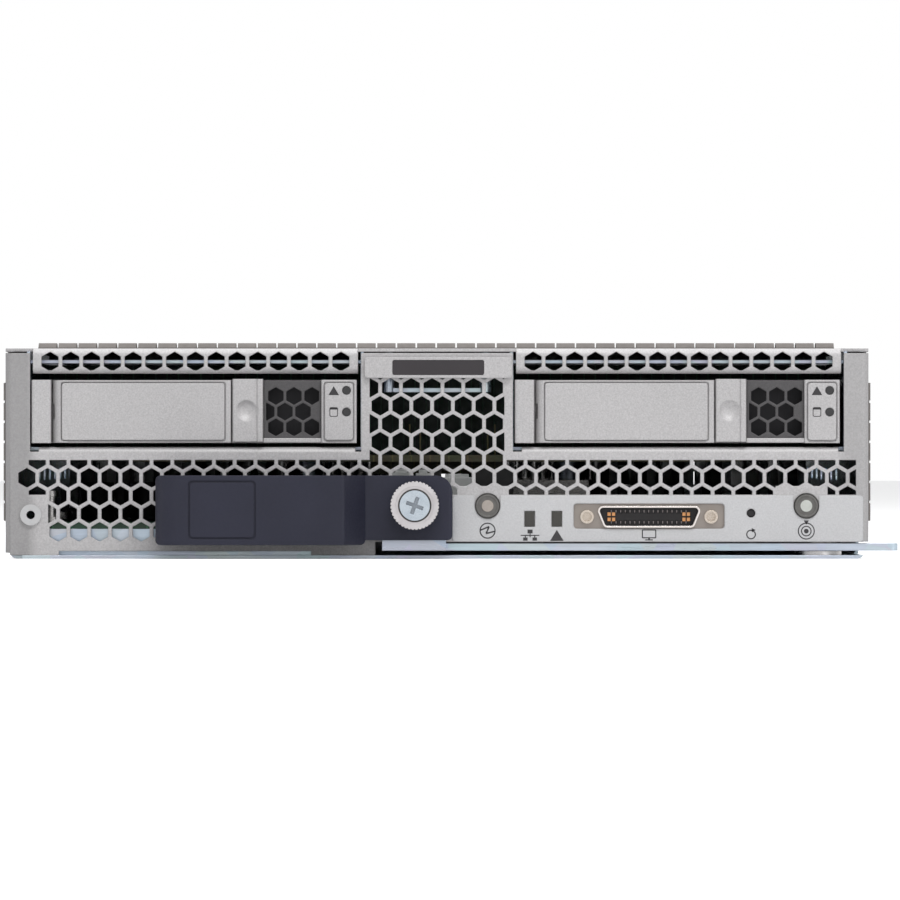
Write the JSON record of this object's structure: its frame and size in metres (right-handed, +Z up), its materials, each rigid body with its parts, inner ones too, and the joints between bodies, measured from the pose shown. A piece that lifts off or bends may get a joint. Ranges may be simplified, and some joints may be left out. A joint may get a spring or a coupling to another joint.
{
  "type": "blade server",
  "caption": "Half-width blade server: sheet-metal tray and cover, vented front, two hot-plug drives, cam lever with captive thumbscrew, console port and rear connectors.",
  "frame": {"origin": "centre of the tray's underside, on the centre plane and half way along the depth", "axes": "+Z up, -Y out of the front panel, +X to the right seen from the front"},
  "size_m": [0.2108, 0.62, 0.0508],
  "materials": {
    "paint": "fine textured grey paint",
    "overlay": "printed light grey overlay",
    "galvanised": "bluish zinc-plated sheet",
    "spring_steel": "bright stainless spring strip",
    "alloy": "machined and nickel-plated",
    "dark_plastic": "moulded slate-blue plastic",
    "black_plastic": "moulded black plastic",
    "white_plastic": "moulded white plastic",
    "clear_plastic": "clear moulded light pipe",
    "dark_grille": "gunmetal grille",
    "circuit_board": "green solder mask",
    "storage_board": "olive solder mask",
    "disk_case": "cast and pressed disk case",
    "components": "moulded components"
  },
  "bodies": {
    "chassis": {"base_tray": "galvanised", "front_panel": "paint", "front_top_plate": "paint", "spring_fingers_top": "spring_steel", "spring_fingers_left": "spring_steel", "spring_fingers_right": "spring_steel", "drive_cage": "galvanised", "front_overlay": "overlay", "panel_rivet": "alloy", "lever_pivot": "alloy", "thumbscrew_nut": "alloy", "status_light_pipes": "clear_plastic", "control_board": "circuit_board", "console_shell": "alloy", "console_contacts": "black_plastic", "console_jack_posts": "alloy", "storage_board": "storage_board", "drive_backplane": "circuit_board", "drive_sockets": "black_plastic", "motherboard": "circuit_board", "board_standoffs": "alloy", "cpu_sockets": "galvanised", "heatsinks": "alloy", "heatsink_screws": "galvanised", "memory_sockets": "black_plastic", "memory_modules": "circuit_board", "adapter_cards": "circuit_board", "signal_connector": "black_plastic", "power_connector": "black_plastic", "guide_sockets": "alloy", "board_parts": "components"},
    "cover": {"top_cover": "paint"},
    "cover_latch": {"cover_latch": "dark_plastic"},
    "asset_tag": {"asset_tag": "paint"},
    "lever": {"ejector_lever": "galvanised", "ejector_handle": "dark_plastic"},
    "thumbscrew": {"thumbscrew": "alloy"},
    "power_button": {"power_button": "clear_plastic"},
    "locator_button": {"locator_button": "clear_plastic"},
    "reset_button": {"reset_button": "black_plastic"},
    "latches_front_a": {"latches_front_a": "white_plastic"},
    "latches_front_b": {"latches_front_b": "white_plastic"},
    "latches_rear_a": {"latches_rear_a": "white_plastic"},
    "latches_rear_b": {"latches_rear_b": "white_plastic"},
    "drive_1": {"drive_1_carrier": "galvanised", "drive_1_bezel": "paint", "drive_1_grille": "dark_grille", "drive_1_disk": "disk_case", "drive_1_light_pipes": "clear_plastic"},
    "drive_1_lever": {"drive_1_lever": "paint", "drive_1_lever_pin": "alloy"},
    "drive_1_button": {"drive_1_button": "paint"},
    "drive_2": {"drive_2_carrier": "galvanised", "drive_2_bezel": "paint", "drive_2_grille": "dark_grille", "drive_2_disk": "disk_case", "drive_2_light_pipes": "clear_plastic"},
    "drive_2_lever": {"drive_2_lever": "paint", "drive_2_lever_pin": "alloy"},
    "drive_2_button": {"drive_2_button": "paint"}
  },
  "joints": [
    {"name": "cover_slide", "type": "slide", "parent": "chassis", "child": "cover", "axis": [0, 1, 0], "range_m": [0, 0.013]},
    {"name": "cover_latch_press", "type": "slide", "parent": "cover", "child": "cover_latch", "axis": [0, 0, -1], "range_m": [0, 0.0012], "stiffness_N_per_m": 400},
    {"name": "asset_tag_slide", "type": "slide", "parent": "chassis", "child": "asset_tag", "axis": [0, -1, 0], "range_m": [0, 0.045]},
    {"name": "lever_pivot", "type": "hinge", "parent": "chassis", "child": "lever", "pos_m": [0.09, -0.2935, 0.00275], "axis": [0, 0, 1], "range_deg": [0, 60]},
    {"name": "thumbscrew_turn", "type": "hinge", "parent": "lever", "child": "thumbscrew", "pos_m": [-0.0052, -0.3105, 0.01257], "axis": [0, 1, 0], "continuous": true},
    {"name": "power_press", "type": "slide", "parent": "chassis", "child": "power_button", "axis": [0, 1, 0], "range_m": [0, 0.001], "stiffness_N_per_m": 300},
    {"name": "locator_press", "type": "slide", "parent": "chassis", "child": "locator_button", "axis": [0, 1, 0], "range_m": [0, 0.001], "stiffness_N_per_m": 300},
    {"name": "reset_press", "type": "slide", "parent": "chassis", "child": "reset_button", "axis": [0, 1, 0], "range_m": [0, 0.0005], "stiffness_N_per_m": 300},
    {"name": "drive_1_slide", "type": "slide", "parent": "chassis", "child": "drive_1", "axis": [0, -1, 0], "range_m": [0, 0.13]},
    {"name": "drive_1_lever_swing", "type": "hinge", "parent": "drive_1", "child": "drive_1_lever", "pos_m": [-0.08785, -0.3004, 0.03465], "axis": [0, 0, -1], "range_deg": [0, 70]},
    {"name": "drive_1_button_press", "type": "slide", "parent": "drive_1", "child": "drive_1_button", "axis": [0, 1, 0], "range_m": [0, 0.0012], "stiffness_N_per_m": 300},
    {"name": "drive_2_slide", "type": "slide", "parent": "chassis", "child": "drive_2", "axis": [0, -1, 0], "range_m": [0, 0.13]},
    {"name": "drive_2_lever_swing", "type": "hinge", "parent": "drive_2", "child": "drive_2_lever", "pos_m": [0.02585, -0.3004, 0.03465], "axis": [0, 0, -1], "range_deg": [0, 70]},
    {"name": "drive_2_button_press", "type": "slide", "parent": "drive_2", "child": "drive_2_button", "axis": [0, 1, 0], "range_m": [0, 0.0012], "stiffness_N_per_m": 300},
    {"name": "latches_front_a_open", "type": "hinge", "parent": "chassis", "child": "latches_front_a", "pos_m": [0, -0.1503, 0.01232], "axis": [1, 0, 0], "range_deg": [0, 20]},
    {"name": "latches_front_b_open", "type": "hinge", "parent": "chassis", "child": "latches_front_b", "pos_m": [0, -0.0107, 0.01232], "axis": [-1, 0, 0], "range_deg": [0, 20]},
    {"name": "latches_rear_a_open", "type": "hinge", "parent": "chassis", "child": "latches_rear_a", "pos_m": [0, 0.0077, 0.01232], "axis": [1, 0, 0], "range_deg": [0, 20]},
    {"name": "latches_rear_b_open", "type": "hinge", "parent": "chassis", "child": "latches_rear_b", "pos_m": [0, 0.1473, 0.01232], "axis": [-1, 0, 0], "range_deg": [0, 20]}
  ]
}
